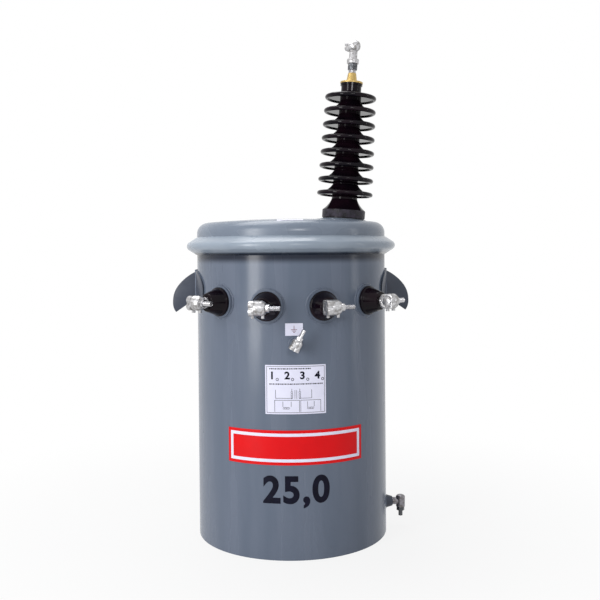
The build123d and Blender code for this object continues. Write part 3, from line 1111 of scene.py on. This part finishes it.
@dataclass
class LowVoltageRow:
    """Four short bushings across the front, each with porcelain, stud, clamp and bolt."""

    face: float = 240.0
    angles: tuple[float, ...] = (-46.0, -15.5, 15.5, 46.0)
    seat_radius: float = 37.5
    bead: float = 2.6
    ripple: float = 3.0
    base_radius: float = 33.5
    base_thickness: float = 6.0
    stem_radius: float = 22.0
    stem_depth: float = 45.0
    cone_radius: float = 31.5
    end_radius: float = 20.5
    length: float = 40.0
    bore: float = 8.0
    clamp_reach: float = 306.0
    bolt_start: float = 15.5
    nut_flats: float = 17.0
    nut_height: float = 9.0
    shank_radius: float = 5.5
    shank_length: float = 24.0
    thread_pitch: float = 2.2

    def build(self) -> None:
        """Model one bushing's new pieces and repeat them along the row."""
        porcelain = self.turn_porcelain()
        nut = hex_nut("lv_nut_model", self.nut_flats * MM, self.nut_height * MM)
        rod = threaded_rod(
            "lv_rod_model", self.shank_radius * MM, self.shank_length * MM, self.thread_pitch * MM
        )
        for number, angle in enumerate(self.angles, start=1):
            low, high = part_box(f"lv_seat_{number}")
            height = (low.z + high.z) / 2
            out = wall_matrix(0.0, angle, height)
            dress_packed([f"lv_seat_{number}"], ENAMEL)
            copy = porcelain.copy(f"lv_porcelain_{number}_turned").place(out)
            copy.dress(PORCELAIN, smooth=50, stands_for=[f"lv_porcelain_{number}"])
            soften(f"lv_stud_{number}", 0.8 * MM, TURNED_TIN)
            soften(f"lv_clamp_{number}", 1.3 * MM, CAST_TIN)
            self.fit_bolt(number, nut, rod, out)
            ring = (self.seat_radius + 1) * MM
            weld_ring(
                f"lv_seat_weld_{number}", ring, angle, height, self.bead * MM, self.ripple * MM
            )
        for model in (porcelain, nut, rod):
            bpy.data.objects.remove(model.object)

    def turn_porcelain(self) -> Workpiece:
        """Turn the glazed cone, with a rounded foot and end.

        Returns:
            The porcelain about Z, with its wall face at the radius it has on the tank.
        """
        end = self.face + self.length
        inside = self.face - self.stem_depth
        corners = [
            (self.bore, inside, 0),
            (self.stem_radius, inside, 2),
            (self.stem_radius, self.face, 0.5),
            (self.base_radius, self.face, 1),
            (self.base_radius + 0.3, self.face + self.base_thickness, 3),
            (self.cone_radius - 0.5, self.face + self.base_thickness + 2, 2),
            (self.end_radius, end, 3),
            (self.bore, end, 0.5),
            (self.bore, inside, 0),
        ]
        return lathe("lv_porcelain_model", rounded(corners), steps=72)

    def fit_bolt(self, number: int, nut: Workpiece, rod: Workpiece, out: Matrix) -> None:
        """Put the nut and the threaded shank on a clamp's end.

        Args:
            number: which bushing of the row.
            nut: the nut that is copied.
            rod: the rod that is copied.
            out: the bushing's frame.
        """
        across = Matrix.Rotation(radians(90), 4, "Y")
        axis = out @ Matrix.Translation((0, 0, self.clamp_reach * MM)) @ across
        on_body = Matrix.Translation((0, 0, self.bolt_start * MM))
        past_nut = Matrix.Translation((0, 0, (self.bolt_start + self.nut_height) * MM))
        shank = rod.copy(f"lv_shank_{number}").place(axis @ past_nut)
        shank.dress(TURNED_TIN, stands_for=[f"lv_bolt_{number}"])
        nut.copy(f"lv_nut_{number}").place(axis @ on_body).dress(TURNED_TIN)


@dataclass
class WallFitting:
    """Fitting on a boss that is welded to the tank's wall."""

    prefix: str
    angle: float
    height: float
    boss_radius: float
    pieces: tuple[tuple[str, float, Finish], ...]
    bead: float = 2.4
    ripple: float = 3.0

    def build(self) -> None:
        """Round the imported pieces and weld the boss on."""
        for piece, edge, finish in self.pieces:
            soften(f"{self.prefix}_{piece}", edge * MM, finish)
        ring = (self.boss_radius + 1) * MM
        name = f"{self.prefix}_boss_weld"
        weld_ring(name, ring, self.angle, self.height * MM, self.bead * MM, self.ripple * MM)


@dataclass
class GroundFitting(WallFitting):
    """Grounding connector on a boss in the middle of the front."""

    prefix: str = "ground"
    angle: float = 0.0
    height: float = 490.0
    boss_radius: float = 14.0
    pieces: tuple[tuple[str, float, Finish], ...] = (
        ("boss", 1.0, ENAMEL),
        ("stud", 0.5, TURNED_TIN),
        ("clamp", 1.1, CAST_TIN),
        ("bolt", 0.6, TURNED_TIN),
    )


@dataclass
class SideFitting(WallFitting):
    """Fitting on a conical boss, low on the right side."""

    prefix: str = "side"
    angle: float = 90.0
    height: float = 60.3
    boss_radius: float = 17.0
    pieces: tuple[tuple[str, float, Finish], ...] = (
        # The boss takes the darker enamel, as painted shade.
        ("boss", 1.0, SHADED_ENAMEL),
        # The fitting's darker tin is partly painted shade.
        ("fitting", 1.5, DULL_TIN),
        ("bolt", 0.6, DARK_STEEL),
    )


@dataclass
class Inside:
    """Core and coils, which the tank hides."""

    def build(self) -> None:
        """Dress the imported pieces."""
        dress_packed(["core"], CORE_STEEL)
        dress_packed(["coils"], COIL_PAPER)


def panel(name: str, width: float, height: float, depth: float, columns: int) -> Workpiece:
    """Upright flat panel about the origin, with columns enough to be bent.

    Args:
        name: name of the piece.
        width: size along X.
        height: size along Z.
        depth: thickness, from Y 0 forwards.
        columns: how many strips it is divided into.

    Returns:
        The panel.
    """
    start_clean()
    bpy.ops.mesh.primitive_grid_add(
        x_subdivisions=columns, y_subdivisions=1, size=1, rotation=(radians(90), 0, 0)
    )
    piece = Workpiece(name)
    bpy.ops.transform.resize(value=(width, 1, height))
    return piece.settle().modify("SOLIDIFY", thickness=depth, offset=1.0)


def lettering(
    name: str, numerals: str, height: float, squeeze: float, weight: float, gap: float
) -> Workpiece:
    """Upright numerals about the origin, cut into strips so that they can be bent.

    Args:
        name: name of the piece.
        numerals: what is written.
        height: height of a numeral.
        squeeze: width as a share of the plain width.
        weight: how much the strokes grow, as a share of the type size.
        gap: distance from numeral to numeral, as a share of the plain one.

    Returns:
        The numerals.
    """
    start_clean()
    bpy.ops.object.text_add(rotation=(radians(90), 0, 0))
    type_size = height / NUMERAL_SHARE
    letters = bpy.context.object.data
    letters.body = numerals
    letters.align_x = "CENTER"
    letters.align_y = "CENTER"
    letters.size = type_size
    letters.offset = weight * type_size
    letters.space_character = gap
    letters.extrude = 0.06 * MM
    bpy.ops.object.convert(target="MESH")
    piece = Workpiece(name)
    bpy.ops.transform.resize(value=(squeeze, 1, 1))
    return piece.settle().slice_across(5 * MM)


def bars(name: str, boxes: Sequence[tuple[float, float, float, float]], depth: float) -> Workpiece:
    """Lay upright flat bars about the origin in one piece that can be bent.

    Args:
        name: name of the piece.
        boxes: (x, z, width, height) of each bar in millimetres.
        depth: thickness, from Y 0 forwards.

    Returns:
        The bars.
    """
    start_clean()
    for x, z, width, height in boxes:
        middle = (x * MM, 0, z * MM)
        bpy.ops.mesh.primitive_plane_add(size=MM, location=middle, rotation=(radians(90), 0, 0))
        bpy.ops.object.mode_set(mode="EDIT")
        bpy.ops.transform.resize(value=(width, 1, height), center_override=middle)
    bpy.ops.object.mode_set(mode="OBJECT")
    piece = Workpiece(name).settle()
    return piece.slice_across(8 * MM).modify("SOLIDIFY", thickness=depth, offset=1.0)


def loops(
    name: str, centres: Sequence[tuple[float, float]], radius: float, line: float, depth: float
) -> Workpiece:
    """Lay upright flat rings about the origin in one piece.

    Args:
        name: name of the piece.
        centres: (x, z) of each ring in millimetres.
        radius: outer radius of a ring in millimetres.
        line: width of its line in millimetres.
        depth: thickness, from Y 0 forwards.

    Returns:
        The rings.
    """
    start_clean()
    for x, z in centres:
        bpy.ops.mesh.primitive_circle_add(
            vertices=20,
            radius=radius * MM,
            fill_type="NGON",
            location=(x * MM, 0, z * MM),
            rotation=(radians(90), 0, 0),
        )
        bpy.ops.object.mode_set(mode="EDIT")
    bpy.ops.mesh.select_all(action="SELECT")
    bpy.ops.mesh.inset(use_individual=True, thickness=line * MM)
    bpy.ops.mesh.delete(type="FACE")
    bpy.ops.object.mode_set(mode="OBJECT")
    piece = Workpiece(name).settle()
    return piece.modify("SOLIDIFY", thickness=depth, offset=1.0)


@dataclass
class Markings:
    """Stickers and stencilled numerals on the front of the tank."""

    lift: float = 0.25
    layer: float = 0.2
    film: float = 0.3
    ink: float = 0.12
    capacity: str = "25,0"
    capacity_height: float = 61.0
    capacity_middle: float = 157.5
    plate_width: float = 334.0
    plate_height: float = 79.0
    plate_middle: float = 256.0
    diagram_width: float = 139.0
    diagram_height: float = 111.0
    diagram_middle: float = 388.0
    terminals: str = "1234"
    terminal_pitch: float = 34.5
    terminal_height: float = 17.0
    terminal_rise: float = 31.0
    terminal_shift: float = -2.0
    earth_width: float = 40.0
    earth_height: float = 28.0
    earth_middle: float = 523.5
    earth_angle: float = -0.7

    def __post_init__(self) -> None:
        """Work out the radius of the painted wall's face."""
        self.radius = (TANK_RADIUS + self.lift) * MM

    def build(self) -> None:
        """Make every marking."""
        self.stencil_capacity()
        self.stick_plate()
        self.stick_diagram()
        self.stick_earth_label()

    def stencil_capacity(self) -> None:
        """Stencil the large numerals."""
        height = self.capacity_height * MM
        piece = lettering("capacity_numerals", self.capacity, height, 0.97, 0.034, 1.12)
        piece.fold_on_wall(self.radius, 0, self.capacity_middle * MM).dress(INK_BLACK)

    def stick_plate(self) -> None:
        """Stick on the wide red plate with its white frame."""
        sheets = (
            ("plate_red_edge", 0.0, FILM_RED),
            ("plate_white_frame", 7.0, FILM_WHITE),
            ("plate_red_field", 14.0, FILM_RED),
        )
        for layer, (name, border, finish) in enumerate(sheets):
            width = (self.plate_width - 2 * border) * MM
            height = (self.plate_height - 2 * border) * MM
            radius = self.radius + layer * self.layer * MM
            sheet = panel(name, width, height, self.film * MM, 60)
            sheet.fold_on_wall(radius, 0, self.plate_middle * MM).dress(finish)

    def stick_diagram(self) -> None:
        """Stick on the terminal diagram with its frame, numerals, rows of marks and circuit."""
        middle = self.diagram_middle * MM
        sheet = panel(
            "diagram_label", self.diagram_width * MM, self.diagram_height * MM, self.film * MM, 24
        )
        sheet.fold_on_wall(self.radius, 0, middle).dress(FILM_WHITE)
        on_sheet = self.radius + self.film * MM
        first = self.terminal_shift - 1.5 * self.terminal_pitch
        for number, numeral in enumerate(self.terminals):
            piece = lettering(
                f"diagram_numeral_{numeral}", numeral, self.terminal_height * MM, 1.05, 0.035, 1.0
            )
            piece.place(Matrix.Translation(((first + number * self.terminal_pitch) * MM, 0, 0)))
            piece.fold_on_wall(on_sheet, 0, middle + self.terminal_rise * MM).dress(INK_BLACK)
        drawing = bars("diagram_circuit", self.circuit(), self.ink * MM)
        windings = [(side * 9.0, -6.0 - 4.2 * turn) for side in (-1, 1) for turn in range(4)]
        windings += [(start + 3.6 * turn, -42.0) for start in (-27.0, 28.0) for turn in range(4)]
        dots = [(first + 12 + k * self.terminal_pitch, 23.0) for k in range(len(self.terminals))]
        coils = loops("diagram_windings", windings, 2.4, 0.7, self.ink * MM)
        rings = loops("diagram_dots", dots, 3.4, 1.3, self.ink * MM)
        drawing.join([coils, rings])
        drawing.fold_on_wall(on_sheet, 0, middle).dress(INK_BLACK)
        self.stick_diagram_marks(on_sheet)

    def circuit(self) -> list[tuple[float, float, float, float]]:
        """Lay out the frame and the wires of the diagram.

        Returns:
            (x, z, width, height) of each line in millimetres from the label's middle.
        """
        wide, high, line = self.diagram_width - 7, self.diagram_height - 7, 0.9
        frame_lines = [(side * wide / 2, 0, line, high) for side in (-1, 1)]
        frame_lines += [(0, side * high / 2, wide + line, line) for side in (-1, 1)]
        core = [(side * 2.0, -11, line, 20) for side in (-1, 1)]
        supply = [(-46, -10, line, 19), (-27, -19.5, 38, line)]
        supply += [(36, -10, line, 19), (22, -19.5, 28, line)]
        supply += [(side * 9, -1, line, 6) for side in (-1, 1)]
        boxes = []
        for middle, width in ((-20, 56), (34, 46)):
            boxes += [(middle + side * width / 2, -37, line, 26) for side in (-1, 1)]
            boxes += [(middle, -24, width + line, line)]
            boxes += [(middle + side * width / 6, -33, line, 12) for side in (-1, 1)]
        return frame_lines + core + supply + boxes

    def stick_diagram_marks(self, radius: float) -> None:
        """Stencil the two rows of small plain marks.

        Args:
            radius: radius of the label's face.
        """
        widths = (2.6, 4.2, 1.8, 3.4, 2.2, 3.0, 1.4)
        marks = []
        for height, start, end in ((47.0, -60.0, 33.0), (12.5, -60.0, 60.0)):
            x = start
            while x < end:
                width = widths[len(marks) % len(widths)]
                marks.append((x + width / 2, height, width, 2.6))
                x += width + 1.3
        piece = bars("diagram_marks", marks, self.ink * MM)
        piece.fold_on_wall(radius, 0, self.diagram_middle * MM).dress(INK_BLACK)

    def stick_earth_label(self) -> None:
        """Stick on the small label over the grounding connector, with its symbol."""
        middle = self.earth_middle * MM
        sheet = panel(
            "earth_label", self.earth_width * MM, self.earth_height * MM, self.film * MM, 8
        )
        sheet.fold_on_wall(self.radius, self.earth_angle, middle).dress(FILM_WHITE)
        lines = [(0, 4, 1.2, 9), (0, -0.5, 14, 1.3), (0, -3.5, 9, 1.3), (0, -6.5, 4, 1.3)]
        symbol = bars("earth_symbol", lines, self.ink * MM)
        symbol.fold_on_wall(self.radius + self.film * MM, self.earth_angle, middle)
        symbol.dress(INK_MAROON)


# Studio


@dataclass
class Studio:
    """Pale room with soft lamps and the camera that has the photograph's view.

    The camera stands a little to the left of the front and a little below the cover's top.
    """

    camera_place: tuple[float, float, float] = (-0.0742, -2.0932, 0.7005)
    camera_pitch: float = -1.13
    camera_yaw: float = -2.644
    camera_roll: float = -0.446
    lens: float = 49.75
    shift: float = -0.055
    ambient: float = 0.42
    floor_radius: float = 6.0
    shadow: tuple[float, float] = (0.3, 1.3)
    glow: tuple[float, float] = (0.86, 1.0)

    def build(self) -> None:
        """Set the colour transform, the room, the lamps and the camera."""
        bpy.context.scene.view_settings.view_transform = "Standard"
        self.light_world()
        self.lay_floor()
        self.hang_lamp("key_lamp", (-2.18, -2.18, 1.1), (0, 0, 0.45), (0.8, 2.2), 56.0)
        self.hang_lamp("fill_lamp", (0.35, -2.9, 1.6), (0, 0, 0.5), (0.7, 0.3), 15.0)
        self.hang_lamp("strip_lamp", (2.91, -0.73, 1.0), (0, 0, 0.6), (0.12, 1.9), 5.5)
        self.hang_lamp("top_lamp", (-0.45, 0.4, 2.8), (0, 0, 0.75), (2.2, 1.3), 44.0)
        back = self.hang_lamp("back_lamp", (-0.6, 2.7, 1.8), (0, 0, 0.5), (1.8, 1.4), 12.0)
        back.visible_glossy = False
        self.stand_camera()

    def seen(self, tree: NodeTree) -> NodeSocket:
        """Say where a ray comes from the camera, a mirror or glass.

        Args:
            tree: node tree that gets the nodes.

        Returns:
            1 for those rays, and 0 for the rest.
        """
        path = add_node(tree, "LightPath").outputs
        seen = path["Is Camera Ray"]
        for kind in ("Is Glossy Ray", "Is Transmission Ray"):
            seen = add_node(tree, "Math", {0: seen, 1: path[kind]}, operation="MAXIMUM").outputs[0]
        return seen

    def light_world(self) -> None:
        """Make the room white to look at and softer as a light."""
        world = bpy.data.worlds.new("studio_world")
        world.use_nodes = True
        bpy.context.scene.world = world
        tree = world.node_tree
        tree.nodes.clear()
        soft = add_node(tree, "Background", {"Color": linear("#F4F6FA"), "Strength": self.ambient})
        white = add_node(tree, "Background", {"Color": linear("#FFFFFF"), "Strength": 1.0})
        mixed = add_node(
            tree,
            "MixShader",
            {0: self.seen(tree), 1: soft.outputs["Background"], 2: white.outputs["Background"]},
        )
        add_node(tree, "OutputWorld", {"Surface": mixed.outputs["Shader"]})

    def lay_floor(self) -> None:
        """Lay a white floor that keeps a soft shadow near the tank."""
        start_clean()
        bpy.ops.mesh.primitive_circle_add(vertices=96, radius=self.floor_radius, fill_type="NGON")
        floor = bpy.context.object
        floor.name = "studio_floor"
        material = bpy.data.materials.new("studio_floor")
        material.use_nodes = True
        tree = material.node_tree
        tree.nodes.clear()
        place = add_node(tree, "TexCoord").outputs["Object"]
        far = add_node(tree, "VectorMath", {0: place}, operation="LENGTH")
        fade = ramp(tree, far.outputs["Value"], self.shadow, self.glow)
        amount = add_node(tree, "Math", {0: fade, 1: self.seen(tree)}, operation="MULTIPLY")
        paper = add_node(tree, "BsdfDiffuse", {"Color": linear("#D0D0D0")})
        glow = add_node(tree, "Emission", {"Color": linear("#FFFFFF"), "Strength": 1.0})
        mixed = add_node(
            tree,
            "MixShader",
            {0: amount.outputs[0], 1: paper.outputs["BSDF"], 2: glow.outputs["Emission"]},
        )
        add_node(tree, "OutputMaterial", {"Surface": mixed.outputs["Shader"]})
        floor.data.materials.append(material)

    def hang_lamp(
        self,
        name: str,
        place: tuple[float, float, float],
        target: tuple[float, float, float],
        size: tuple[float, float],
        power: float,
    ) -> Object:
        """Hang a soft rectangular lamp that the camera doesn't see.

        Args:
            name: name of the lamp.
            place: where it hangs.
            target: where it points.
            size: its width and height.
            power: its power in watts.

        Returns:
            The lamp.
        """
        start_clean()
        bpy.ops.object.light_add(type="AREA", location=place)
        lamp = bpy.context.object
        lamp.name = name
        lamp.data.shape = "RECTANGLE"
        lamp.data.size, lamp.data.size_y = size
        lamp.data.energy = power
        lamp.visible_camera = False
        lamp.rotation_euler = (Vector(target) - Vector(place)).to_track_quat("-Z", "Y").to_euler()
        return lamp

    def stand_camera(self) -> None:
        """Stand the camera where the photograph was taken from."""
        start_clean()
        bpy.ops.object.camera_add()
        camera = bpy.context.object
        camera.data.lens = self.lens
        camera.data.shift_y = self.shift
        camera.matrix_world = (
            Matrix.Translation(self.camera_place)
            @ Matrix.Rotation(radians(self.camera_yaw), 4, "Z")
            @ Matrix.Rotation(radians(90 + self.camera_pitch), 4, "X")
            @ Matrix.Rotation(radians(self.camera_roll), 4, "Z")
        )
        bpy.context.scene.camera = camera


def main() -> None:
    """Build the sub-assemblies in order."""
    logging.basicConfig(level=logging.INFO, format="%(message)s")
    parts = (
        Studio(),
        Tank(),
        Cover(),
        HighVoltageBushing(),
        LowVoltageRow(),
        GroundFitting(),
        SideFitting(),
        Inside(),
        Markings(),
    )
    for part in parts:
        log.info("building %s", type(part).__name__)
        part.build()


if __name__ == "__main__":
    main()
